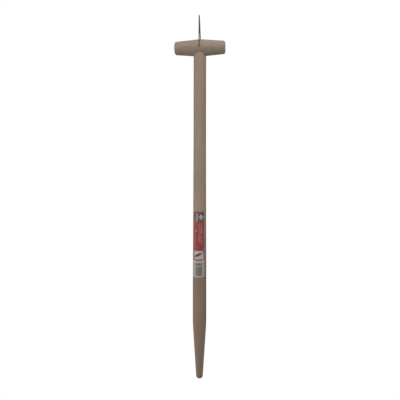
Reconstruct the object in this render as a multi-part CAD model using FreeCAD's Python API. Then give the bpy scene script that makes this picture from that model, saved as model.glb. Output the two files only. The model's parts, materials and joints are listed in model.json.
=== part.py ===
import FreeCAD, Part
import math
import os

# A long garden dibber. A turned ash shaft with a blunt point is wedged through a barrel-shaped
# ash crossbar, carries a wrapped label, and hangs by a loop of cord that runs through the
# crossbar from front to back.
# Millimetres. +Z runs up the shaft from the point, X along the crossbar, and -Y is the front.

# Driving dimensions
TOOL_LENGTH = 850.0         # point to the top of the crossbar
BAR_LENGTH = 127.0
BAR_RADIUS = 20.95          # at the middle of the crossbar
BAR_TAPER = 0.0815          # radius lost per mm of length, outside the crowned middle
BAR_CROWN = 8.5             # half length of the crowned middle
BAR_EDGE = 4.9              # tangent length of the rounded end edge

NECK_RADIUS = 15.72         # the shaft under the crossbar
NECK_FOOT = 592.0           # height where the swelling starts
SWELL_RADIUS = 16.95        # the shaft at its thickest
SWELL_TOP = 222.0           # height where the swelling is complete
POINT_TOP = 140.0           # height where the point starts
POINT_TAPER = 0.0644        # radius lost per mm of height in the point
POINT_BLEND = 18.0          # tangent length of the shoulder above the point
TIP_BLEND = 6.7             # tangent length of the rounded edge of the blunt tip

TENON_RADIUS = 11.0
TENON_ROOT = 12.0           # overlap of the tenon's cylinder with the neck below the crossbar
GLUE_LINE = 0.05            # gap between wood faces that are glued
WEDGE_DEPTH = 13.0
WEDGE_TOP_WIDTH = 3.4
WEDGE_FOOT_WIDTH = 0.8
WEDGE_WASTE = 1.0           # trimmed off the wedge's top, where it is at its widest
CUT_OVERRUN = 5.0           # how far a cutting shape runs past the surface it cuts

LABEL_BOTTOM = 254.6
LABEL_TOP = 418.8
LABEL_TURN = 116.0          # degrees of the shaft that the label covers
LABEL_CENTRE = -9.5         # degrees from the front, towards -X
LABEL_CORNER = 4.0
LABEL_LIFT = 0.02           # adhesive between the wood and the label
LABEL_THICKNESS = 0.15

CORD_DIAMETER = 2.7
CORD_HOLE_RADIUS = 1.7
CORD_HOLE_CHAMFER = 0.4
CORD_RISE = 0.25            # the loaded cord runs this far above the axis of its hole
LOOP_LEAN = 1.2             # degrees from upright, towards -X
KNOT_RADIUS = 5.2
KNOT_DEPTH = 5.4
KNOT_ROUNDING = 1.8

BAR_HEIGHT = TOOL_LENGTH - BAR_RADIUS
CORD_HEIGHT = BAR_HEIGHT + CORD_RISE

# The cord's route before it leans, in the plane X = 0, as (y, height above CORD_HEIGHT): from
# the knot behind the crossbar, forward through its hole, up the front to the hook, and down the
# back to the knot.
CORD_ROUTE = [
    (23.35, 0.0),
    (-21.55, 0.0),
    (-23.35, 2.5),
    (-2.4, 81.5),
    (2.4, 81.5),
    (23.35, 3.0),
]
KNOT_CENTRE = (24.25, 0.6)

# Each tail of the knot, from inside it to its cut end, as (x, y, height above CORD_HEIGHT).
TAILS = [
    [(1.2, 25.45, -2.0), (-4.0, 25.95, -15.5)],
    [(-1.2, 23.05, -2.0), (3.6, 23.55, -14.0)],
]

UP = FreeCAD.Vector(0, 0, 1)
ALONG_BAR = FreeCAD.Vector(1, 0, 0)
ORIGIN = FreeCAD.Vector(0, 0, 0)


def blended_edges(points, blends):
    """Straight runs through the points, with each inner corner turned by a tangent arc that
    starts blends[i] before it, or left sharp where that is 0. Also returns the arcs' radii."""
    edges = []
    radii = []
    start = points[0]
    for corner, after, blend in zip(points[1:-1], points[2:], blends):
        if blend == 0:
            edges.append(Part.LineSegment(start, corner).toShape())
            start = corner
            continue
        way_in = (corner - start).normalize()
        way_out = (after - corner).normalize()
        half_turn = way_in.getAngle(way_out) / 2
        radius = blend / math.tan(half_turn)
        arc_start = corner - way_in * blend
        arc_end = corner + way_out * blend
        inward = (way_out - way_in).normalize()
        middle = corner + inward * (radius / math.cos(half_turn) - radius)
        if (arc_start - start).Length > 1e-6:
            edges.append(Part.LineSegment(start, arc_start).toShape())
        edges.append(Part.Arc(arc_start, middle, arc_end).toShape())
        radii.append(radius)
        start = arc_end
    edges.append(Part.LineSegment(start, points[-1]).toShape())
    return edges, radii


def turned(points, blends, axis):
    """The solid of revolution of an outline that starts and ends on the axis."""
    edges, _ = blended_edges(points, blends)
    edges.append(Part.LineSegment(points[-1], points[0]).toShape())
    return Part.Face(Part.Wire(edges)).revolve(ORIGIN, axis, 360)


def cylinder(radius, length, foot, direction):
    return Part.makeCylinder(radius, length, foot, direction)


def barrel(grown=0.0):
    """The crossbar before any hole is cut in it, grown outwards by an even skin."""
    half = BAR_LENGTH / 2
    peak = BAR_RADIUS + BAR_CROWN * math.tan(math.atan(BAR_TAPER) / 2) + grown
    end_radius = peak - BAR_TAPER * half
    outline = [
        FreeCAD.Vector(-half, 0, 0),
        FreeCAD.Vector(-half, 0, end_radius),
        FreeCAD.Vector(0, 0, peak),
        FreeCAD.Vector(half, 0, end_radius),
        FreeCAD.Vector(half, 0, 0),
    ]
    bar = turned(outline, [BAR_EDGE, BAR_CROWN, BAR_EDGE], ALONG_BAR)
    return bar.translate(UP * BAR_HEIGHT)


def cord_hole():
    """The hole through the crossbar and the tenon, from front to back, with eased mouths."""
    forward = FreeCAD.Vector(0, -1, 0)
    reach = BAR_RADIUS + CUT_OVERRUN
    centre = FreeCAD.Vector(0, 0, BAR_HEIGHT)
    hole = cylinder(CORD_HOLE_RADIUS, 2 * reach, centre - forward * reach, forward)
    depth = BAR_RADIUS - CORD_HOLE_CHAMFER
    mouth_radius = CORD_HOLE_RADIUS + reach - depth
    for outward in (forward, -forward):
        mouth = Part.makeCone(CORD_HOLE_RADIUS, mouth_radius, reach - depth,
                              centre + outward * depth, outward)
        hole = hole.fuse(mouth)
    return hole


def wedge_prism(grown=0.0):
    """The wedge before it is trimmed to the tenon, wide across Y and thin along X."""
    top = TOOL_LENGTH + WEDGE_WASTE
    foot = TOOL_LENGTH - WEDGE_DEPTH - grown
    half_top = WEDGE_TOP_WIDTH / 2 + grown
    half_foot = WEDGE_FOOT_WIDTH / 2 + grown
    corners = [(-half_foot, foot), (half_foot, foot), (half_top, top), (-half_top, top)]
    points = [FreeCAD.Vector(x, -TENON_RADIUS, z) for x, z in corners]
    outline = Part.makePolygon(points + points[:1])
    return Part.Face(outline).extrude(FreeCAD.Vector(0, 2 * TENON_RADIUS, 0))


def shaft_outline(grown=0.0):
    """The shaft's outline from the point up to the axis of the crossbar."""
    point_corner = SWELL_RADIUS - POINT_TAPER * POINT_TOP
    outline = [
        (0, 0),
        (point_corner, 0),
        (SWELL_RADIUS, POINT_TOP),
        (SWELL_RADIUS, SWELL_TOP),
        (NECK_RADIUS, NECK_FOOT),
        (NECK_RADIUS, BAR_HEIGHT),
        (0, BAR_HEIGHT),
    ]
    points = [FreeCAD.Vector(r + grown if r else 0, 0, z) for r, z in outline]
    return points, [TIP_BLEND, POINT_BLEND, 0, 0, 0]


def make_shaft():
    """Turned shaft, coped to sit on the crossbar, with a through tenon trimmed to its top."""
    points, blends = shaft_outline()
    body = turned(points, blends, UP).cut(barrel(GLUE_LINE))
    body = max(body.Solids, key=lambda solid: solid.Volume)
    root = BAR_HEIGHT - BAR_RADIUS - TENON_ROOT
    neck = cylinder(TENON_RADIUS, TOOL_LENGTH - root, UP * root, UP)
    top_waste = cylinder(2 * BAR_RADIUS, BAR_LENGTH, FreeCAD.Vector(0, 0, BAR_HEIGHT), UP)
    top_waste = top_waste.cut(barrel())
    tenon = neck.cut(top_waste)
    shaft = body.fuse(tenon).removeSplitter()
    return shaft.cut(cord_hole()).cut(wedge_prism(GLUE_LINE))


def make_crossbar():
    mortise = cylinder(TENON_RADIUS + GLUE_LINE, 2 * BAR_LENGTH,
                       FreeCAD.Vector(0, 0, BAR_HEIGHT - BAR_LENGTH), UP)
    return barrel().cut(mortise).cut(cord_hole())


def make_wedge():
    """Hardwood wedge in the tenon's kerf, trimmed flush with the crossbar."""
    tenon = cylinder(TENON_RADIUS, 2 * BAR_RADIUS, FreeCAD.Vector(0, 0, BAR_HEIGHT), UP)
    return wedge_prism().common(tenon).common(barrel())


def make_label():
    """A film on the shaft's surface, cut to a strip with rounded corners."""
    outer_points, outer_blends = shaft_outline(LABEL_LIFT + LABEL_THICKNESS)
    inner_points, inner_blends = shaft_outline(LABEL_LIFT)
    skin = turned(outer_points, outer_blends, UP).cut(turned(inner_points, inner_blends, UP))
    reach = 2 * SWELL_RADIUS
    height = LABEL_TOP - LABEL_BOTTOM
    sector = Part.makeCylinder(reach, height, FreeCAD.Vector(0, 0, LABEL_BOTTOM), UP, LABEL_TURN)
    centre = -90 + LABEL_CENTRE
    sector.rotate(ORIGIN, UP, centre - LABEL_TURN / 2)
    label = skin.common(sector)
    corner_turn = math.degrees(LABEL_CORNER / SWELL_RADIUS)
    for side in (-1, 1):
        azimuth = math.radians(centre + side * (LABEL_TURN / 2 - corner_turn))
        outward = FreeCAD.Vector(math.cos(azimuth), math.sin(azimuth), 0)
        sideways = FreeCAD.Vector(-math.sin(azimuth), math.cos(azimuth), 0) * side
        for height, away in ((LABEL_BOTTOM + LABEL_CORNER, -1), (LABEL_TOP - LABEL_CORNER, 1)):
            foot = UP * height
            corners = [
                foot,
                foot + sideways * 2 * LABEL_CORNER,
                foot + sideways * 2 * LABEL_CORNER + UP * away * 2 * LABEL_CORNER,
                foot + UP * away * 2 * LABEL_CORNER,
            ]
            block = Part.Face(Part.makePolygon(corners + corners[:1])).extrude(outward * reach)
            rounding = cylinder(LABEL_CORNER, reach, foot, outward)
            label = label.cut(block.cut(rounding))
    return label


def make_cord():
    """The loop of cord as a tube along straight runs and tangent arcs."""
    points = [FreeCAD.Vector(0, y, CORD_HEIGHT + up) for y, up in CORD_ROUTE]
    runs = [(after - before).Length for before, after in zip(points, points[1:])]
    blends = [0.45 * min(pair) for pair in zip(runs, runs[1:])]
    edges, radii = blended_edges(points, blends)
    path = Part.Wire(edges)
    section = Part.Wire(Part.makeCircle(CORD_DIAMETER / 2, points[0], points[1] - points[0]))
    tube = path.makePipeShell([section], True, False)
    area = math.pi * CORD_DIAMETER ** 2 / 4
    print("cord radii", [round(radius, 2) for radius in radii])
    print("cord length", round(path.Length, 1), "volume share",
          round(tube.Volume / (area * path.Length), 4))
    return tube


def make_knot(cord):
    """The knot that joins the cord's ends behind the crossbar, with its two tails."""
    backward = FreeCAD.Vector(0, 1, 0)
    y, up = KNOT_CENTRE
    foot = FreeCAD.Vector(0, y - KNOT_DEPTH / 2, CORD_HEIGHT + up)
    disc = cylinder(KNOT_RADIUS, KNOT_DEPTH, foot, backward)
    rims = [edge for edge in disc.Edges if isinstance(edge.Curve, Part.Circle)]
    knot = disc.makeFillet(KNOT_ROUNDING, rims)
    for start, end in TAILS:
        start = FreeCAD.Vector(*start) + UP * CORD_HEIGHT
        end = FreeCAD.Vector(*end) + UP * CORD_HEIGHT
        knot = knot.fuse(cylinder(CORD_DIAMETER / 2, (end - start).Length, start, end - start))
    return knot.removeSplitter().cut(cord)


def main():
    cord = make_cord()
    knot = make_knot(cord)
    for piece in (cord, knot):
        piece.rotate(UP * CORD_HEIGHT, FreeCAD.Vector(0, 1, 0), -LOOP_LEAN)
    pieces = {
        "shaft": make_shaft(),
        "crossbar": make_crossbar(),
        "tenon_wedge": make_wedge(),
        "label": make_label(),
        "hang_cord": cord,
        "cord_knot": knot,
    }
    os.makedirs("parts", exist_ok=True)
    for name, shape in pieces.items():
        shape.exportStep("parts/" + name + ".step")
        box = shape.BoundBox
        print(name, "solids", len(shape.Solids), "valid", shape.isValid(),
              "volume", round(shape.Volume, 1),
              "box", [round(v, 2) for v in (box.XMin, box.YMin, box.ZMin,
                                            box.XMax, box.YMax, box.ZMax)])


main()
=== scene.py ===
"""Garden dibber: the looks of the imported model. Metres, in the model's own frame: +Z runs up the
shaft from the point, X along the crossbar, and -Y is the front, where the label is."""
import json
import math

import bpy
import numpy as np
from mathutils import Matrix, Vector


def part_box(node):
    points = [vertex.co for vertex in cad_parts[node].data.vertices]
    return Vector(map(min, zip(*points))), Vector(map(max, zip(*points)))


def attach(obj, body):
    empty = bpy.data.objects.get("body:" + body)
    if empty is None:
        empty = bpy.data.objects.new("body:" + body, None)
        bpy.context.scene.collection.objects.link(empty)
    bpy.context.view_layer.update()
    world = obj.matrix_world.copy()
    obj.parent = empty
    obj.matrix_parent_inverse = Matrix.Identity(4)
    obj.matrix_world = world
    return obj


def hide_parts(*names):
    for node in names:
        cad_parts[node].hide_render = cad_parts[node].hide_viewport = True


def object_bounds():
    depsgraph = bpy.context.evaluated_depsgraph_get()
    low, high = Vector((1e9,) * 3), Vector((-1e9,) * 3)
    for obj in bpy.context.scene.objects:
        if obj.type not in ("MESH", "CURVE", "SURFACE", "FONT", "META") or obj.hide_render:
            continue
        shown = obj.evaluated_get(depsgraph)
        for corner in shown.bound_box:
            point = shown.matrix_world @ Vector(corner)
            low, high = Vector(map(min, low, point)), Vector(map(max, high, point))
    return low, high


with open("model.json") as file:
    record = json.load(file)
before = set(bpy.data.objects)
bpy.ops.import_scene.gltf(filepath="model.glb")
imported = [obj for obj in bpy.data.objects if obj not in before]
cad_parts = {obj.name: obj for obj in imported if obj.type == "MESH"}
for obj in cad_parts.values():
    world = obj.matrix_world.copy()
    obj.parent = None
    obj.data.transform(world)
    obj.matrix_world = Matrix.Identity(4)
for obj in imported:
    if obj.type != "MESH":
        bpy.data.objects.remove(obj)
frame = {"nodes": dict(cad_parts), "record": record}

MM = 0.001
TAU = 2 * math.pi

# ---------------------------------------------------------------------------------------------
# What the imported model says
# ---------------------------------------------------------------------------------------------
cad_low, cad_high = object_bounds()
_, shaft_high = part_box("shaft")
bar_low, bar_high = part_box("crossbar")
label_low, label_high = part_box("label")
swing = frame["record"]["behaviour"]["joints"][0]

BAR_AXIS = (bar_low[2] + bar_high[2]) / 2
BAR_RADIUS = bar_high[1]
TOOL_TOP = shaft_high[2]
SHAFT_RADIUS = shaft_high[0]
CORD_AXIS = swing["pos_m"][2]

# ---------------------------------------------------------------------------------------------
# Dimensions that shape the pieces
# ---------------------------------------------------------------------------------------------
# The shaft's outline, and the crossbar's skin that its top is coped to
NECK_RADIUS = 15.72 * MM
NECK_FOOT = 592 * MM
SWELL_TOP = 222 * MM
POINT_TOP = 140 * MM
POINT_TAPER = 0.0644
POINT_BLEND = 18 * MM
TIP_BLEND = 6.7 * MM
BAR_TAPER = 0.0815
BAR_CROWN = 8.5 * MM
TENON_RADIUS = 10.92 * MM
SADDLE_GAP = 0.06 * MM
COPE_EDGE = 0.35 * MM
WEDGE_FOOT = 0.8 * MM
KERF_SPARE = 0.06 * MM
CORD_HOLE_RADIUS = 1.7 * MM
CORD_HOLE_AXIS = CORD_AXIS - 0.25 * MM
CUT_OVERRUN = 1 * MM

# The label, by the turn of the shaft that it covers. Its foot is a shallow arc, which rises by
# the curve times the square of the distance from the label's middle. The film's rows grow
# straighter above it, and are straight from the span up.
LABEL_TURN = math.radians(116)
LABEL_CENTRE = math.radians(-90 - 9.5)
LABEL_CORNER = 4 * MM
LABEL_LIFT = 0.04 * MM
LABEL_THICKNESS = 0.13 * MM
LABEL_FOOT_CURVE = 0.0065 / MM
LABEL_FOOT_SPAN = 24 * MM

# The cord, and its three strands
STRAND_RADIUS = 0.78 * MM
STRAND_TURN_RADIUS = 0.57 * MM
ROPE_PITCH = 8.5 * MM

# The cord's route before it leans, in the plane X = 0: from the knot behind the crossbar,
# forward through its hole, up the front, over the hook, and down the back to the knot. As y,
# and height over the hole.
ROUTE = [
    (0.02335, 0.0),
    (-0.01847, 0.0),
    (-0.02155, 0.0),
    (-0.02335, 0.0025),
    (-0.02256, 0.00548),
    (-0.00624, 0.0670),
    (-0.0024, 0.0815),
    (0.0024, 0.0815),
    (0.00627, 0.0670),
    (0.02335, 0.0030),
]
LOOP_LEAN = math.radians(1.2)

# The knot: its middle, given as the tails are, its size, and the turn left open at its ends
KNOT_CENTRE = (0.0, 0.02425, 0.0006)
KNOT_SCALE = 1.25 * MM
KNOT_GAP = math.radians(26)
KNOT_PITCH = 0.8 * ROPE_PITCH

# The two tails of the knot, each as points after it leaves the knot: x, y, and height over the
# hole.
LEFT_TAIL = [
    (-0.0010, 0.02555, -0.0055),
    (-0.0030, 0.02580, -0.0100),
    (-0.0040, 0.02570, -0.0148),
]
RIGHT_TAIL = [
    (0.0010, 0.02295, -0.0055),
    (0.0027, 0.02285, -0.0095),
    (0.0034, 0.02335, -0.0134),
]

# ---------------------------------------------------------------------------------------------
# Camera
# ---------------------------------------------------------------------------------------------
CAMERA_AZIMUTH = math.radians(5.6)
CAMERA_ROLL = math.radians(0.08)
CAMERA_DISTANCE = 1.3952
CAMERA_HEIGHT = 0.44725
CAMERA_ASIDE = 0.75 * MM


def make_camera():
    """A level camera in front of the tool, turned a little to its right."""
    data = bpy.data.cameras.new("camera")
    data.lens = 50
    data.sensor_width = 36
    data.clip_start = 0.05
    data.clip_end = 50
    camera = bpy.data.objects.new("camera", data)
    bpy.context.collection.objects.link(camera)
    place = Vector((CAMERA_ASIDE, -CAMERA_DISTANCE, CAMERA_HEIGHT))
    round_tool = Matrix.Rotation(CAMERA_AZIMUTH, 4, "Z") @ Matrix.Translation(place)
    level = Matrix.Rotation(math.pi / 2, 4, "X")
    camera.matrix_world = round_tool @ level @ Matrix.Rotation(CAMERA_ROLL, 4, "Z")
    bpy.context.scene.camera = camera


# ---------------------------------------------------------------------------------------------
# Meshes
# ---------------------------------------------------------------------------------------------
def mesh_piece(name, points, faces, uvs=None, sharp_angle=40):
    """An object made of these points and faces, shaded smooth except over sharp edges."""
    mesh = bpy.data.meshes.new(name)
    mesh.from_pydata([tuple(p) for p in points], [], faces)
    if uvs is not None:
        layer = mesh.uv_layers.new(name="surface")
        for loop in mesh.loops:
            layer.data[loop.index].uv = uvs[loop.vertex_index]
    mesh.validate()
    mesh.polygons.foreach_set("use_smooth", [True] * len(mesh.polygons))
    mesh.set_sharp_from_angle(angle=math.radians(sharp_angle))
    piece = bpy.data.objects.new(name, mesh)
    bpy.context.collection.objects.link(piece)
    return piece


def grid_faces(rows, columns, first=0, closed=True):
    """Quads between rows of points. A closed grid joins each row's last point to its first."""
    faces = []
    for row in range(rows - 1):
        for column in range(columns if closed else columns - 1):
            a = first + row * columns + column
            b = first + row * columns + (column + 1) % columns
            faces.append((a, b, b + columns, a + columns))
    return faces


def softened(outline, blends, steps=10):
    """An (r, z) outline with its inner corners turned by arcs that start blends[i] away."""
    points = [outline[0]]
    corners = zip(outline, outline[1:], outline[2:], blends)
    for before, corner, after, blend in corners:
        if blend == 0:
            points.append(corner)
            continue
        before, corner, after = (np.array(p, float) for p in (before, corner, after))
        way_in = (corner - before) / np.linalg.norm(corner - before)
        way_out = (after - corner) / np.linalg.norm(after - corner)
        turn = math.acos(np.clip(way_in @ way_out, -1, 1))
        radius = blend / math.tan(turn / 2)
        towards = way_out - way_in
        centre = corner + towards / np.linalg.norm(towards) * radius / math.cos(turn / 2)
        spoke = corner - way_in * blend - centre
        side = math.copysign(1, way_in[0] * way_out[1] - way_in[1] * way_out[0])
        for step in range(steps + 1):
            angle = side * turn * step / steps
            cosine, sine = math.cos(angle), math.sin(angle)
            points.append((
                centre[0] + cosine * spoke[0] - sine * spoke[1],
                centre[1] + sine * spoke[0] + cosine * spoke[1],
            ))
    points.append(outline[-1])
    return points


def divided(points, longest):
    """The same outline with no run longer than this."""
    made = [points[0]]
    for before, after in zip(points, points[1:]):
        count = max(1, math.ceil(math.dist(before, after) / longest))
        for step in range(1, count + 1):
            share = step / count
            made.append(tuple(b + (a - b) * share for b, a in zip(before, after)))
    return made


# ---------------------------------------------------------------------------------------------
# Shaft
# ---------------------------------------------------------------------------------------------
SHAFT_SIDES = 144
LONGEST_QUAD = 8 * MM
COPE_ROOM = 2 * MM
SHAFT_NECK_TOP = TOOL_TOP - 2 * BAR_RADIUS - COPE_ROOM


def shaft_outline():
    """The turned outline from the tip to just under the crossbar, as (radius, height)."""
    corner = SHAFT_RADIUS - POINT_TAPER * POINT_TOP
    outline = [
        (0, 0),
        (corner, 0),
        (SHAFT_RADIUS, POINT_TOP),
        (SHAFT_RADIUS, SWELL_TOP),
        (NECK_RADIUS, NECK_FOOT),
        (NECK_RADIUS, SHAFT_NECK_TOP),
    ]
    points = softened(outline, [TIP_BLEND, POINT_BLEND, 0, 0], steps=20)
    return divided(points[1:], LONGEST_QUAD)


def bar_surface_radius(x):
    """The crossbar's radius at this distance along it, on its tapers and its crown."""
    crown_radius = BAR_CROWN / math.tan(math.atan(BAR_TAPER) / 2)
    if abs(x) < BAR_CROWN * math.cos(math.atan(BAR_TAPER)):
        return BAR_RADIUS - crown_radius + math.sqrt(crown_radius ** 2 - x ** 2)
    peak = BAR_RADIUS + BAR_CROWN * math.tan(math.atan(BAR_TAPER) / 2)
    return peak - BAR_TAPER * abs(x)


def saddle_height(x, y, side, gap):
    """The height of the crossbar's skin over (x, y), below its axis (-1) or above it (1)."""
    radius = bar_surface_radius(x) - side * gap
    return BAR_AXIS + side * math.sqrt(radius ** 2 - y ** 2)


def make_shaft():
    """The turned shaft, coped under the crossbar, with a through tenon flush with its top."""
    angles = [TAU * i / SHAFT_SIDES for i in range(SHAFT_SIDES)]
    rings = [[(r * math.cos(a), r * math.sin(a), z) for a in angles]
             for r, z in shaft_outline()]

    def ring(radius, height):
        """A ring whose points stand at height(x, y)."""
        flat = [(radius * math.cos(a), radius * math.sin(a)) for a in angles]
        rings.append([(x, y, height(x, y)) for x, y in flat])

    def cope(x, y):
        return saddle_height(x, y, -1, -SADDLE_GAP)

    def trimmed(x, y):
        return saddle_height(x, y, 1, SADDLE_GAP)

    def edge(x, y):
        return cope(x, y) - COPE_EDGE

    for share in (0.35, 0.65, 0.85):
        ring(NECK_RADIUS, lambda x, y, k=share: SHAFT_NECK_TOP + (edge(x, y) - SHAFT_NECK_TOP) * k)
    ring(NECK_RADIUS, edge)
    ring(NECK_RADIUS - COPE_EDGE * 0.3, lambda x, y: cope(x, y) - COPE_EDGE * 0.3)
    ring(NECK_RADIUS - COPE_EDGE, cope)
    ring((NECK_RADIUS + TENON_RADIUS) / 2, cope)
    ring(TENON_RADIUS, cope)
    for share in (0.25, 0.5, 0.75):
        ring(TENON_RADIUS, lambda x, y, k=share: cope(x, y) + (trimmed(x, y) - cope(x, y)) * k)
    ring(TENON_RADIUS, lambda x, y: trimmed(x, y) - COPE_EDGE / 2)
    ring(TENON_RADIUS - COPE_EDGE / 2, trimmed)
    for share in (0.75, 0.5, 0.25):
        ring(TENON_RADIUS * share, trimmed)

    points = [p for one in rings for p in one]
    faces = grid_faces(len(rings), SHAFT_SIDES)
    tip, crown = len(points), len(points) + 1
    points += [(0, 0, 0), (0, 0, trimmed(0, 0))]
    last = (len(rings) - 1) * SHAFT_SIDES
    for i in range(SHAFT_SIDES):
        after = (i + 1) % SHAFT_SIDES
        faces.append((tip, after, i))
        faces.append((crown, last + i, last + after))
    shaft = mesh_piece("shaft_turned", points, faces)
    cut(shaft, [hole_cutter(), kerf_cutter()])
    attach(shaft, "tool")
    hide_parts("shaft")
    return shaft


def cut(piece, cutters):
    """Cuts the cutters out of the piece, and removes them."""
    for cutter in cutters:
        modifier = piece.modifiers.new("cut", "BOOLEAN")
        modifier.operation = "DIFFERENCE"
        modifier.solver = "EXACT"
        modifier.object = cutter
    graph = bpy.context.evaluated_depsgraph_get()
    made = bpy.data.meshes.new_from_object(piece.evaluated_get(graph))
    piece.modifiers.clear()
    piece.data = made
    for cutter in cutters:
        bpy.data.objects.remove(cutter)


def hole_cutter():
    """The cord's hole through the tenon, from front to back."""
    sides = 48
    reach = TENON_RADIUS + CUT_OVERRUN
    rim = [(CORD_HOLE_RADIUS * math.cos(TAU * i / sides),
            CORD_HOLE_AXIS + CORD_HOLE_RADIUS * math.sin(TAU * i / sides)) for i in range(sides)]
    points = [(x, y, z) for y in (reach, -reach) for x, z in rim]
    faces = grid_faces(2, sides)
    faces += [tuple(range(sides))[::-1], tuple(range(sides, 2 * sides))]
    return mesh_piece("hole_cutter", points, faces)


def kerf_cutter():
    """The wedge's kerf in the tenon, a little larger than the wedge itself."""
    wedge_low, wedge_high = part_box("tenon_wedge")
    foot = wedge_low[2] - KERF_SPARE
    top = wedge_high[2] + CUT_OVERRUN
    foot_half = WEDGE_FOOT / 2 + KERF_SPARE
    top_half = wedge_high[0] + KERF_SPARE
    reach = TENON_RADIUS + CUT_OVERRUN
    section = [(-foot_half, foot), (foot_half, foot), (top_half, top), (-top_half, top)]
    points = [(x, y, z) for y in (-reach, reach) for x, z in section]
    faces = grid_faces(2, 4)
    faces += [(3, 2, 1, 0), (4, 5, 6, 7)]
    return mesh_piece("kerf_cutter", points, [face[::-1] for face in faces])


# ---------------------------------------------------------------------------------------------
# Label
# ---------------------------------------------------------------------------------------------
LABEL_COLUMNS = 72
LABEL_ROWS = 60
LABEL_CORNER_STEPS = 8
LABEL_HEIGHT = label_high[2] - label_low[2]
LABEL_WIDTH = LABEL_TURN * SHAFT_RADIUS


def label_rows():
    """Each row's height above the label's foot and its half width, narrower in the corners."""
    turns = np.linspace(0, math.pi / 2, LABEL_CORNER_STEPS + 1)
    foot = [(LABEL_CORNER * (1 - math.cos(t)), LABEL_CORNER * (1 - math.sin(t))) for t in turns]
    middle = np.linspace(LABEL_CORNER, LABEL_HEIGHT - LABEL_CORNER, LABEL_ROWS)[1:-1]
    rows = [(up, LABEL_WIDTH / 2 - lost) for up, lost in foot]
    rows += [(up, LABEL_WIDTH / 2) for up in middle]
    rows += [(LABEL_HEIGHT - up, LABEL_WIDTH / 2 - lost) for up, lost in reversed(foot)]
    return rows


def make_label():
    """A film wrapped round the shaft, with rounded corners. Its UV is the flat label in metres:
    U across from its middle, V up from its foot."""
    points, uvs = [], []
    rows = label_rows()
    radii, heights = zip(*shaft_outline())
    for lift in (LABEL_LIFT + LABEL_THICKNESS, LABEL_LIFT):
        for row_up, half in rows:
            curve = LABEL_FOOT_CURVE * max(0, 1 - row_up / LABEL_FOOT_SPAN)
            across = np.linspace(-half, half, LABEL_COLUMNS + 1)
            up = row_up + curve * across ** 2
            height = label_low[2] + up
            radius = np.interp(height, heights, radii) + lift
            angle = LABEL_CENTRE + across / SHAFT_RADIUS
            points += zip(radius * np.cos(angle), radius * np.sin(angle), height)
            uvs += zip(across, up)
    columns = LABEL_COLUMNS + 1
    outer = grid_faces(len(rows), columns, closed=False)
    back = len(rows) * columns
    inner = [tuple(back + i for i in face[::-1]) for face in outer]
    rim = [row * columns for row in range(len(rows))]
    rim += [(len(rows) - 1) * columns + column for column in range(1, columns)]
    rim += [row * columns + columns - 1 for row in range(len(rows) - 2, -1, -1)]
    rim += list(range(columns - 2, 0, -1))
    sides = [(a, b, b + back, a + back) for a, b in zip(rim, rim[1:] + rim[:1])]
    label = mesh_piece("label_film", points, outer + inner + sides, uvs)
    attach(label, "tool")
    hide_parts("label")
    return label


# ---------------------------------------------------------------------------------------------
# Cord and knot
# ---------------------------------------------------------------------------------------------
ROPE_STEP = 0.4 * MM
KNOT_STEP = 0.35 * MM
NO_TANGENT = (0.31, 0.17, 0.94)


def smooth_line(points, spacing):
    """Points this far apart along the NURBS curve that has the given control points."""
    curve = bpy.data.curves.new("route", "CURVE")
    curve.dimensions = "3D"
    spline = curve.splines.new("NURBS")
    spline.points.add(len(points) - 1)
    for point, place in zip(spline.points, points):
        point.co = (*place, 1)
    spline.order_u = 3
    spline.use_endpoint_u = True
    spline.resolution_u = 32
    carrier = bpy.data.objects.new("route", curve)
    bpy.context.collection.objects.link(carrier)
    mesh = bpy.data.meshes.new_from_object(carrier)
    line = np.array([tuple(v.co) for v in mesh.vertices])
    bpy.data.objects.remove(carrier)
    return evenly(line, spacing)


def evenly(line, spacing):
    """The same line, with its points this far apart."""
    along = lengths_along(line)
    count = max(2, round(along[-1] / spacing))
    at = np.linspace(0, along[-1], count + 1)
    return np.stack([np.interp(at, along, line[:, axis]) for axis in range(3)], axis=1)


def lengths_along(line):
    """How far along the line each of its points is."""
    steps = np.linalg.norm(np.diff(line, axis=0), axis=1)
    return np.concatenate([[0], np.cumsum(steps)])


def frames_along(line):
    """Two unit vectors across the line at each point, carried along it without twist. The first
    is square to NO_TANGENT, a direction in which no line here starts."""
    tangents = np.gradient(line, axis=0)
    tangents /= np.linalg.norm(tangents, axis=1)[:, None]
    start = np.cross(tangents[0], NO_TANGENT)
    normals = [start / np.linalg.norm(start)]
    for tangent in tangents[1:]:
        normal = normals[-1] - tangent * (normals[-1] @ tangent)
        normals.append(normal / np.linalg.norm(normal))
    normals = np.array(normals)
    return normals, np.cross(tangents, normals)


def rope_mesh(line, pitch, sides=12):
    """The points, faces and UVs of three strands laid round the line. U runs round a strand,
    and V is the distance along it."""
    normals, binormals = frames_along(line)
    along = lengths_along(line)
    points, faces, uvs = [], [], []
    for strand in range(3):
        turn = (TAU * (along / pitch + strand / 3))[:, None]
        centre = line + STRAND_TURN_RADIUS * (np.cos(turn) * normals + np.sin(turn) * binormals)
        across, over = frames_along(centre)
        first = len(points)
        for at, distance in enumerate(along):
            for side in range(sides + 1):
                angle = TAU * side / sides
                spoke = math.cos(angle) * across[at] + math.sin(angle) * over[at]
                points.append(centre[at] + STRAND_RADIUS * spoke)
                uvs.append((side / sides, distance / pitch))
        faces += grid_faces(len(along), sides + 1, first, closed=False)
        last = len(points) - sides - 1
        faces.append(tuple(range(first, first + sides))[::-1])
        faces.append(tuple(range(last, last + sides)))
    return points, faces, uvs


def make_rope(name, line, pitch):
    """A rope of three strands along the line, which make one turn over each pitch."""
    return mesh_piece(name, *rope_mesh(line, pitch), sharp_angle=75)


def leaned(points):
    """Points given as x, y and height over the hole, leaned with the loop and in the frame."""
    sine, cosine = math.sin(LOOP_LEAN), math.cos(LOOP_LEAN)
    return np.array([(x * cosine - up * sine, y, CORD_AXIS + x * sine + up * cosine)
                     for x, y, up in points])


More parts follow.
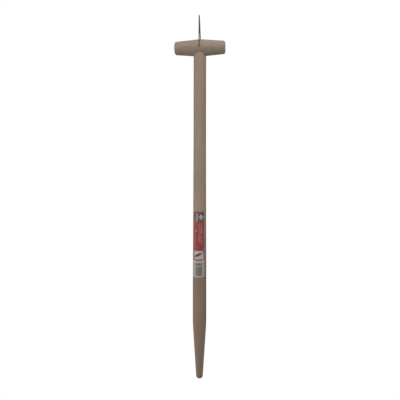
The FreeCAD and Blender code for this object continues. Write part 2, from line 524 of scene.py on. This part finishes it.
def make_knot():
    """An overhand knot lying flat behind the crossbar, with a tail at each end."""
    turns = np.linspace(math.pi + KNOT_GAP, 3 * math.pi - KNOT_GAP, 120)[::4]
    lump = np.stack([
        np.sin(turns) + 2 * np.sin(2 * turns),
        -np.sin(3 * turns),
        np.cos(turns) - 2 * np.cos(2 * turns),
    ], axis=1) * KNOT_SCALE + KNOT_CENTRE
    line = smooth_line(leaned([*LEFT_TAIL[::-1], *lump, *RIGHT_TAIL]), KNOT_STEP)
    knot = make_rope("knot", line, KNOT_PITCH)
    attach(knot, "hanging_loop")
    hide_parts("cord_knot")
    return knot


def make_cord():
    """The cord of the loop, from the knot once round through the crossbar and over the hook."""
    line = smooth_line(leaned([(0, y, up) for y, up in ROUTE]), ROPE_STEP)
    cord = make_rope("hanging_cord", line, ROPE_PITCH)
    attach(cord, "hanging_loop")
    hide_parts("hang_cord")
    return cord


# ---------------------------------------------------------------------------------------------
# Materials
# ---------------------------------------------------------------------------------------------
def srgb(red, green, blue):
    """A linear colour from the 0 to 255 values that a screen shows."""
    def linear(value):
        value /= 255
        return value / 12.92 if value <= 0.04045 else ((value + 0.055) / 1.055) ** 2.4
    return (linear(red), linear(green), linear(blue), 1)


# Wood: the pith line's place beside each piece on the two axes across its grain, its light and
# dark tones, and the width of its growth rings
SHAFT_PITH = (62 * MM, -34 * MM)
SHAFT_TONES = (srgb(190, 165, 147), srgb(158, 133, 115))
BAR_PITH = (48 * MM, BAR_AXIS - 58 * MM)
BAR_TONES = (srgb(187, 167, 149), srgb(138, 119, 102))
ASH_RING = 2.4 * MM
WEDGE_PITH = (70 * MM, 20 * MM)
WEDGE_TONES = (srgb(132, 96, 68), srgb(98, 68, 46))
WEDGE_RING = 1.6 * MM

# What multiplies the wood's colour where it is cooler, in its open pores, and in the shaft's
# darker foot, which ends between these two heights
COOLER = (0.93, 1.0, 0.97, 1)
OPEN_PORE = (0.52, 0.46, 0.42, 1)
FOOT_TONE = (0.75, 0.69, 0.645, 1)
FOOT_TONE_SPAN = (0.245, 0.425)

# The cord's colour in the grooves between its yarns, darkened there as painted shade, its colour
# on the yarns, and what multiplies its colour where it has faded
CORD_GROOVE_SHADE = srgb(58, 60, 54)
CORD_LIGHT = srgb(110, 112, 104)
CORD_FADED = (1.25, 1.22, 1.15, 1)
YARNS_ALONG = 16.0
YARNS_AROUND = 9.0


class Recipe:
    """A material being written. Each method adds a node and returns its output socket."""

    def __init__(self, name, **constants):
        self.material = bpy.data.materials.new(name)
        self.material.use_nodes = True
        self.tree = self.material.node_tree
        self.surface = self.tree.nodes["Principled BSDF"]
        for socket, value in constants.items():
            self.surface.inputs[socket.replace("_", " ")].default_value = value

    def plug(self, socket, value):
        if isinstance(value, bpy.types.NodeSocket):
            self.tree.links.new(value, socket)
        else:
            socket.default_value = value

    def node(self, kind, inputs, output=0, **settings):
        node = self.tree.nodes.new("ShaderNode" + kind)
        for name, value in settings.items():
            setattr(node, name, value)
        for name, value in inputs.items():
            self.plug(node.inputs[name], value)
        return node.outputs[output]

    def math(self, operation, *values):
        return self.node("Math", dict(enumerate(values)), operation=operation)

    def vector_math(self, operation, *values):
        output = 1 if operation in ("LENGTH", "DISTANCE", "DOT_PRODUCT") else 0
        return self.node("VectorMath", dict(enumerate(values)), output, operation=operation)

    def place(self):
        """The point's place in the model's frame."""
        return self.node("TexCoord", {}, "Object")

    def parts(self, vector):
        node = self.tree.nodes.new("ShaderNodeSeparateXYZ")
        self.plug(node.inputs[0], vector)
        return node.outputs[0], node.outputs[1], node.outputs[2]

    def joined(self, x, y, z):
        return self.node("CombineXYZ", {0: x, 1: y, 2: z})

    def noise(self, vector, scale, detail=2.0, roughness=0.5):
        inputs = {"Vector": vector, "Scale": scale, "Detail": detail, "Roughness": roughness}
        return self.node("TexNoise", inputs)

    def stretched(self, vector, factors):
        return self.vector_math("MULTIPLY", vector, factors)

    def mix(self, factor, first, second, blend="MIX"):
        inputs = {0: factor, 6: first, 7: second}
        return self.node("Mix", inputs, 2, data_type="RGBA", blend_type=blend)

    def tinted(self, colour, tint):
        return self.mix(1.0, colour, tint, "MULTIPLY")

    def ramp(self, factor, low, high, to_low=0.0, to_high=1.0):
        """A smooth step from to_low at low up to to_high at high."""
        inputs = {"Value": factor, "From Min": low, "From Max": high,
                  "To Min": to_low, "To Max": to_high}
        return self.node("MapRange", inputs, interpolation_type="SMOOTHSTEP")

    def bump(self, height, strength, distance):
        inputs = {"Height": height, "Strength": strength, "Distance": distance}
        return self.node("Bump", inputs)

    def finish(self, colour, roughness, normal=None):
        self.plug(self.surface.inputs["Base Color"], colour)
        self.plug(self.surface.inputs["Roughness"], roughness)
        if normal is not None:
            self.plug(self.surface.inputs["Normal"], normal)
        return self.material


def wood(name, along, pith, tones, ring_width=ASH_RING, foot_tone=None):
    """Ash turned to shape: growth rings round a pith line beside the piece, with open pores at
    the start of each ring, fine fibres, and slow changes of tone. along is the grain's axis,
    and pith the line's place on the two other axes."""
    recipe = Recipe(name, Specular_IOR_Level=0.28)
    x, y, z = recipe.parts(recipe.place())
    across, over, length = {"X": (y, z, x), "Z": (x, y, z)}[along]
    grain = recipe.joined(across, over, length)

    # The distance from the pith, which wanders along the grain, and whose rings vary in width
    wander = recipe.noise(recipe.stretched(grain, (9, 9, 2.2)), 1.0, 2.0)
    wander = recipe.math("MULTIPLY_ADD", wander, 16 * MM, -8 * MM)
    out = recipe.math("SUBTRACT", across, pith[0])
    over_out = recipe.math("SUBTRACT", over, pith[1])
    radius = recipe.vector_math("LENGTH", recipe.joined(out, over_out, 0))
    radius = recipe.math("ADD", radius, wander)
    uneven = recipe.noise(recipe.joined(radius, 0, 0), 130.0, 1.0)
    radius = recipe.math("ADD", radius, recipe.math("MULTIPLY", uneven, 3 * MM))
    ring = recipe.math("FRACT", recipe.math("DIVIDE", radius, ring_width))
    early = recipe.math("MULTIPLY", recipe.ramp(ring, 0.0, 0.10),
                        recipe.ramp(ring, 0.14, 0.55, 1.0, 0.0))
    late = recipe.math("MULTIPLY", recipe.ramp(ring, 0.55, 0.97), 0.5)

    # What is drawn out along the grain, from the finest to the broadest
    pores = recipe.noise(recipe.stretched(grain, (2100, 2100, 62)), 1.0, 2.0, 0.6)
    pores = recipe.ramp(pores, 0.56, 0.68)
    open_pores = recipe.math("MULTIPLY", pores, recipe.math("MULTIPLY_ADD", early, 0.8, 0.14))
    fibres = recipe.noise(recipe.stretched(grain, (1500, 1500, 26)), 1.0, 3.0, 0.65)
    fleck = recipe.noise(recipe.stretched(grain, (520, 520, 9)), 1.0, 2.0, 0.5)
    patches = recipe.noise(recipe.stretched(grain, (30, 30, 7)), 1.0, 2.0, 0.5)
    warmth = recipe.ramp(recipe.noise(recipe.stretched(grain, (22, 22, 4)), 1.0), 0.35, 0.65)

    # How dark the wood is, and its colour
    depth = recipe.math("MULTIPLY_ADD", early, 0.34, late)
    depth = recipe.math("MULTIPLY_ADD", recipe.math("SUBTRACT", fibres, 0.5), 0.55, depth)
    depth = recipe.math("MULTIPLY_ADD", recipe.math("SUBTRACT", fleck, 0.5), 0.7, depth)
    depth = recipe.math("MULTIPLY_ADD", recipe.math("SUBTRACT", patches, 0.5), 0.8, depth)
    colour = recipe.mix(recipe.ramp(depth, -0.35, 0.95), *tones)
    colour = recipe.mix(warmth, colour, recipe.tinted(colour, COOLER))
    colour = recipe.mix(recipe.math("MULTIPLY", open_pores, 0.5), colour,
                        recipe.tinted(colour, OPEN_PORE))
    if foot_tone:
        darker = recipe.tinted(colour, foot_tone)
        colour = recipe.mix(recipe.ramp(z, *FOOT_TONE_SPAN), darker, colour)

    # Its sheen and its relief
    roughness = recipe.math("MULTIPLY_ADD", fleck, 0.16, 0.44)
    roughness = recipe.math("MULTIPLY_ADD", open_pores, 0.2, roughness)
    height = recipe.math("MULTIPLY_ADD", open_pores, -1.0, recipe.math("MULTIPLY", fibres, 0.35))
    height = recipe.math("MULTIPLY_ADD", early, -0.12, height)
    return recipe.finish(colour, roughness, recipe.bump(height, 0.35, 0.06 * MM))


def cord_material():
    """Twisted synthetic cord: fine yarns wound along each strand, with painted shade in the
    grooves between them.
    """
    recipe = Recipe("twisted_cord", Specular_IOR_Level=0.3, Sheen_Weight=0.1,
                    Sheen_Roughness=0.5)
    around, along, _ = recipe.parts(recipe.node("UVMap", {}, uv_map="surface"))
    wound = recipe.math("MULTIPLY", around, YARNS_AROUND)
    wound = recipe.math("MULTIPLY_ADD", along, YARNS_ALONG, wound)
    yarn = recipe.math("SINE", recipe.math("MULTIPLY", wound, TAU))
    yarn = recipe.math("MULTIPLY_ADD", yarn, 0.5, 0.5)
    fuzz = recipe.noise(recipe.stretched(recipe.place(), (4200, 4200, 4200)), 1.0, 3.0, 0.7)
    worn = recipe.noise(recipe.stretched(recipe.place(), (160, 160, 160)), 1.0, 2.0)
    # Painted shade: the colour darkens in the grooves between the yarns, where the bump sinks,
    # with the fine fuzz mixed in
    groove_shade_and_fuzz = recipe.math("MULTIPLY_ADD", yarn, 0.55, recipe.math("MULTIPLY", fuzz, 0.45))
    colour = recipe.mix(groove_shade_and_fuzz, CORD_GROOVE_SHADE, CORD_LIGHT)
    colour = recipe.mix(recipe.ramp(worn, 0.42, 0.7), colour, recipe.tinted(colour, CORD_FADED))
    roughness = recipe.math("MULTIPLY_ADD", fuzz, 0.25, 0.62)
    height = recipe.math("MULTIPLY_ADD", fuzz, 0.5, yarn)
    return recipe.finish(colour, roughness, recipe.bump(height, 0.6, 0.08 * MM))


# ---------------------------------------------------------------------------------------------
# The label's print
# ---------------------------------------------------------------------------------------------
RED = srgb(168, 60, 58)
RED_DEEP = srgb(126, 62, 58)
PAPER = srgb(203, 196, 187)
PAPER_SHADED = srgb(183, 171, 165)
PALE = srgb(160, 154, 150)
SLATE = srgb(92, 90, 88)
INK = srgb(80, 76, 74)
BLOCK = srgb(172, 166, 160)

# The film's pale edge, and the sagging line between the windows: its two heights in the middle,
# and how much it rises with the square of the distance from there. Millimetres.
CUT_EDGE = 0.25
LINE_TOP = 43.5
LINE_FOOT = 41.5
LINE_SAG = 0.0105

# The lines of text on the red panel: place across, half thickness, foot, top and word length
# in millimetres, then strength and seed
TEXT_LINES = [
    (-4.9, 0.5, 93, 113, 3.9, 0.28, 5),
    (1.2, 0.6, 92, 134, 4.6, 0.26, 31),
    (3.8, 0.8, 84, 134, 5.2, 0.50, 3),
    (6.6, 0.6, 88, 134, 6.1, 0.38, 11),
    (9.2, 0.8, 82, 135, 7.3, 0.56, 23),
    (12.0, 0.5, 112, 134, 5.5, 0.22, 43),
]


class Print:
    """Shapes drawn on the flat label, each as a mask. Places and sizes are millimetres from the
    middle of the label's foot."""

    HAIR = 1e-4
    WORD_SHARE = 0.84
    LETTER_WIDTH = 0.11
    LETTER_SHARE = 0.72
    LETTER_SEED = 200

    def __init__(self, recipe):
        self.recipe = recipe
        flat = recipe.node("UVMap", {}, uv_map="surface")
        self.at = recipe.vector_math("SCALE", flat)
        self.at.node.inputs["Scale"].default_value = 1 / MM
        self.across, self.up, _ = recipe.parts(self.at)

    def below_zero(self, distance):
        return self.recipe.math("LESS_THAN", distance, 0.0)

    def box(self, left, right, foot, top, rounding=0.0):
        centre = ((left + right) / 2, (foot + top) / 2, 0)
        half = ((right - left) / 2 - rounding, (top - foot) / 2 - rounding, 1)
        away = self.recipe.vector_math("SUBTRACT", self.at, centre)
        away = self.recipe.vector_math("ABSOLUTE", away)
        away = self.recipe.vector_math("SUBTRACT", away, half)
        away = self.recipe.vector_math("MAXIMUM", away, (0, 0, 0))
        distance = self.recipe.vector_math("LENGTH", away)
        return self.below_zero(self.recipe.math("SUBTRACT", distance, rounding + self.HAIR))

    def disc(self, x, y, radius):
        distance = self.recipe.vector_math("DISTANCE", self.at, (x, y, 0))
        return self.below_zero(self.recipe.math("SUBTRACT", distance, radius))

    def leaf(self, x, y, angle, length, breadth):
        """Two arcs that meet in a point at each end."""
        radius = (length ** 2 + breadth ** 2) / (4 * breadth)
        offset = radius - breadth / 2
        across = (-math.sin(angle) * offset, math.cos(angle) * offset)
        return self.both(self.disc(x + across[0], y + across[1], radius),
                         self.disc(x - across[0], y - across[1], radius))

    def stroke(self, start, end, start_radius, end_radius):
        """A straight stroke with round ends that widens from one radius to the other."""
        run = (end[0] - start[0], end[1] - start[1], 0)
        squared = run[0] ** 2 + run[1] ** 2
        away = self.recipe.vector_math("SUBTRACT", self.at, (*start, 0))
        share = self.recipe.vector_math("DOT_PRODUCT", away, run)
        share = self.recipe.node("Clamp", {0: self.recipe.math("DIVIDE", share, squared)})
        nearest = self.recipe.vector_math("SCALE", run)
        self.recipe.plug(nearest.node.inputs["Scale"], share)
        distance = self.recipe.vector_math("DISTANCE", away, nearest)
        radius = self.recipe.math("MULTIPLY_ADD", share, end_radius - start_radius, start_radius)
        return self.below_zero(self.recipe.math("SUBTRACT", distance, radius))

    def both(self, first, second):
        return self.recipe.math("MULTIPLY", first, second)

    def either(self, *masks):
        made = masks[0]
        for mask in masks[1:]:
            made = self.recipe.math("MAXIMUM", made, mask)
        return made

    def cells(self, along, size, share, seed):
        """Blocks of this size along one direction, of which this share are on."""
        cell = self.recipe.math("FLOOR", self.recipe.math("DIVIDE", along, size))
        value = self.recipe.node("TexWhiteNoise", {"W": self.recipe.math("ADD", cell, seed)},
                                 noise_dimensions="1D")
        return self.recipe.math("LESS_THAN", value, share)

    def cells_in(self, area, size, share, seed):
        """Upright bars inside an area."""
        return self.both(area, self.cells(self.across, size, share, seed))

    def greeked(self, along, area, word, seed):
        """Illegible words: blocks with gaps between them, inside an area."""
        words = self.cells(along, word, self.WORD_SHARE, seed)
        letters = self.cells(along, word * self.LETTER_WIDTH, self.LETTER_SHARE,
                             seed + self.LETTER_SEED)
        return self.both(area, self.both(words, letters))


def with_plant_mark(ink, colour):
    """A three-leaved sprout in a dark square, with a pale band beside it."""
    mix = ink.recipe.mix
    colour = mix(ink.box(-9.2, 15.4, 137.8, 161.6, 0.6), colour, SLATE)
    colour = mix(ink.box(-5.6, 0.3, 139.2, 160.2), colour, PALE)
    sprout = ink.either(
        ink.leaf(8.2, 152.8, math.radians(90), 8.4, 4.6),
        ink.leaf(4.8, 149.6, math.radians(148), 6.8, 3.2),
        ink.leaf(11.7, 149.6, math.radians(32), 7.2, 3.4),
        ink.stroke((8.2, 143.6), (8.2, 149.6), 0.7, 0.6),
        ink.box(4.4, 12.2, 142.9, 144.3, 0.7),
    )
    return mix(sprout, colour, PAPER)


def with_text(ink, colour):
    """Lines of greeked text that run up the red panel, and a pale dot."""
    recipe = ink.recipe
    for across, thick, foot, top, word, strength, seed in TEXT_LINES:
        area = ink.box(across - thick, across + thick, foot, top)
        text = ink.greeked(ink.up, area, word, seed)
        colour = recipe.mix(recipe.math("MULTIPLY", text, strength), colour, PAPER)
    return recipe.mix(ink.disc(-4.9, 116.0, 1.9), colour, PAPER)


def with_tool_window(ink, colour, half):
    """A window with a drawing of a hand tool: a banded grip, a stem and a small crosspiece."""
    recipe = ink.recipe
    colour = recipe.mix(ink.box(-half + 6.4, half - 2.4, 45.0, 66.2, 0.4), colour, PAPER)
    tool = ink.either(
        ink.stroke((-6.2, 53.0), (5.8, 58.2), 3.1, 2.6),
        ink.stroke((5.8, 58.2), (14.6, 63.0), 0.9, 0.8),
        ink.stroke((13.4, 65.2), (15.6, 61.0), 0.8, 0.8),
    )
    bands = ink.both(ink.cells(ink.across, 2.1, 0.5, 7), ink.box(-6.0, 7.0, 50.0, 63.0))
    tool_ink = recipe.mix(recipe.math("MULTIPLY", bands, 0.45), INK, PALE)
    return recipe.mix(ink.both(tool, ink.box(-half, half, 46.0, 66.2)), colour, tool_ink)


def with_bar_window(ink, colour, half):
    """A sagging line, and under it a window with a bar pattern and a row of greeked text."""
    recipe = ink.recipe
    sag = recipe.math("MULTIPLY", ink.across, recipe.math("MULTIPLY", ink.across, LINE_SAG))
    over_line = recipe.math("SUBTRACT", ink.up, sag)
    colour = recipe.mix(recipe.math("LESS_THAN", over_line, LINE_TOP), colour, RED_DEEP)
    colour = recipe.mix(recipe.math("LESS_THAN", over_line, LINE_FOOT), colour, PAPER)
    sticker = ink.box(-half + 1.4, half - 1.6, 1.6, 38.2, 3.4)
    colour = recipe.mix(sticker, colour, PAPER_SHADED)
    colour = recipe.mix(ink.box(-6.4, 10.6, 4.4, 35.6), colour, BLOCK)
    rows = ink.either(
        ink.cells_in(ink.box(-5.8, 10.2, 31.6, 34.6), 0.52, 0.62, 52),
        ink.greeked(ink.across, ink.box(-5.8, 8.4, 28.4, 30.2), 2.7, 63),
        ink.cells_in(ink.box(-5.8, 10.2, 10.0, 26.4), 0.42, 0.50, 40),
        ink.cells_in(ink.box(-5.8, 10.2, 5.2, 8.8), 0.34, 0.66, 91),
    )
    return recipe.mix(rows, colour, INK)


def label_material():
    """A printed adhesive film: a red panel with a plant mark and lines of greeked text, a window
    with a drawing of a hand tool, and a window with a bar pattern."""
    recipe = Recipe("label_print", Specular_IOR_Level=0.5, Coat_Weight=0.2, Coat_Roughness=0.22)
    ink = Print(recipe)
    half = LABEL_WIDTH / MM / 2
    top = LABEL_HEIGHT / MM
    colour = with_plant_mark(ink, RED)
    colour = with_text(ink, colour)
    colour = with_tool_window(ink, colour, half)
    colour = with_bar_window(ink, colour, half)

    # The film's pale cut edge, and the print's slow fading and scuffs
    printed = ink.box(-half + CUT_EDGE, half - CUT_EDGE, CUT_EDGE, top - CUT_EDGE,
                      LABEL_CORNER / MM - CUT_EDGE)
    colour = recipe.mix(printed, PAPER, colour)
    faded = recipe.noise(recipe.stretched(ink.at, (0.09, 0.05, 0)), 1.0, 3.0, 0.6)
    paler = recipe.mix(0.10, colour, PAPER)
    colour = recipe.mix(recipe.ramp(faded, 0.4, 0.7), colour, paler)
    scuffs = recipe.noise(recipe.stretched(ink.at, (3.0, 0.35, 0)), 1.0, 3.0, 0.7)
    colour = recipe.mix(recipe.ramp(scuffs, 0.68, 0.78, 0.0, 0.35), colour, PALE)

    roughness = recipe.math("MULTIPLY_ADD", faded, 0.2, 0.3)
    wrinkles = recipe.noise(recipe.stretched(ink.at, (0.16, 0.07, 0)), 1.0, 2.0)
    return recipe.finish(colour, roughness, recipe.bump(wrinkles, 0.25, 0.3 * MM))


# ---------------------------------------------------------------------------------------------
# Stage and light
# ---------------------------------------------------------------------------------------------
STAGE_SIDES = 96
STAGE_REACH = 9.0
STAGE_CURVE = 2.0
STAGE_HUB = 0.02
FLOOR = cad_low[2] - 0.06


def make_stage():
    """A plain pale floor that runs up into an even pale surround."""
    flat = STAGE_REACH - STAGE_CURVE
    outline = [(STAGE_HUB, FLOOR), (STAGE_CURVE, FLOOR), (flat, FLOOR)]
    outline += [(flat + STAGE_CURVE * math.sin(t), FLOOR + STAGE_CURVE * (1 - math.cos(t)))
                for t in np.linspace(0, math.pi / 2, 12)[1:]]
    outline += [(STAGE_REACH * math.cos(t), FLOOR + STAGE_CURVE + STAGE_REACH * math.sin(t))
                for t in np.linspace(0, math.pi / 2, 17)[1:-1]]
    points = [(r * math.cos(TAU * i / STAGE_SIDES), r * math.sin(TAU * i / STAGE_SIDES), z)
              for r, z in outline for i in range(STAGE_SIDES)]
    faces = [face[::-1] for face in grid_faces(len(outline), STAGE_SIDES)]
    faces.append(tuple(range(STAGE_SIDES)))
    faces.append(tuple(range(len(points) - STAGE_SIDES, len(points)))[::-1])
    surround = mesh_piece("surround", points, faces)
    recipe = Recipe("surround", Base_Color=(0, 0, 0, 1), Specular_IOR_Level=0.0, Roughness=1.0,
                    Emission_Color=(1, 1, 1, 1), Emission_Strength=1.0)
    surround.data.materials.append(recipe.material)
    surround.visible_diffuse = False
    surround.visible_glossy = False
    surround.visible_shadow = False


# Soft lights round the tool: name, degrees to the right of the camera, degrees up, width in
# metres, power in watts and colour
WHITE = (1.0, 1.0, 1.0)
COOL = (0.30, 0.68, 1.0)
LIGHTS = [
    ("front_top", 3, 46, 1.56, 19.2, WHITE),
    ("left_side", -95, -15, 1.43, 7.4, WHITE),
    ("left_top", -40, 45, 1.56, 4.3, WHITE),
    ("overhead", 0, 75, 1.56, 4.4, WHITE),
    ("floor_bounce", -62, -25, 1.43, 4.8, WHITE),
    ("right_side", 82, -22, 1.43, 4.4, COOL),
    ("back_top", 178, 40, 1.56, 6.0, WHITE),
]
LIGHT_DISTANCE = 2.4
LIGHT_AIM = Vector((0, 0, 0.45))
SKY_COLOUR = (0.99, 0.98, 0.97, 1)
SKY_STRENGTH = 0.30


def make_lights():
    """The soft lights, each turned to the tool's middle, and an even pale sky."""
    for name, aside, up, width, power, colour in LIGHTS:
        data = bpy.data.lights.new(name, "AREA")
        data.shape = "SQUARE"
        data.size = width
        data.energy = power
        data.color = colour
        light = bpy.data.objects.new(name, data)
        light.visible_camera = False
        bpy.context.collection.objects.link(light)
        turn = CAMERA_AZIMUTH + math.radians(aside)
        rise = math.radians(up)
        away = Vector((math.sin(turn) * math.cos(rise), -math.cos(turn) * math.cos(rise),
                       math.sin(rise)))
        light.location = LIGHT_AIM + away * LIGHT_DISTANCE
        light.rotation_euler = away.to_track_quat("Z", "Y").to_euler()
    world = bpy.data.worlds.new("studio")
    bpy.context.scene.world = world
    world.use_nodes = True
    background = world.node_tree.nodes["Background"]
    background.inputs["Color"].default_value = SKY_COLOUR
    background.inputs["Strength"].default_value = SKY_STRENGTH


# ---------------------------------------------------------------------------------------------
# The scene
# ---------------------------------------------------------------------------------------------
make_camera()
cord_finish = cord_material()
knot = make_knot()
cord = make_cord()
for piece in (cord, knot):
    piece.data.materials.append(cord_finish)

shaft = make_shaft()
shaft.data.materials.clear()
shaft.data.materials.append(wood("shaft_ash", "Z", SHAFT_PITH, SHAFT_TONES, foot_tone=FOOT_TONE))
label = make_label()
label.data.materials.append(label_material())

bar_finish = wood("crossbar_ash", "X", BAR_PITH, BAR_TONES)
wedge_finish = wood("wedge_hardwood", "Z", WEDGE_PITH, WEDGE_TONES, WEDGE_RING)
for node, finish in (("crossbar", bar_finish), ("tenon_wedge", wedge_finish)):
    for slot in frame["nodes"][node].material_slots:
        slot.material = finish

make_stage()
make_lights()
bpy.context.scene.view_settings.view_transform = "Standard"
bpy.context.scene.view_settings.look = "None"
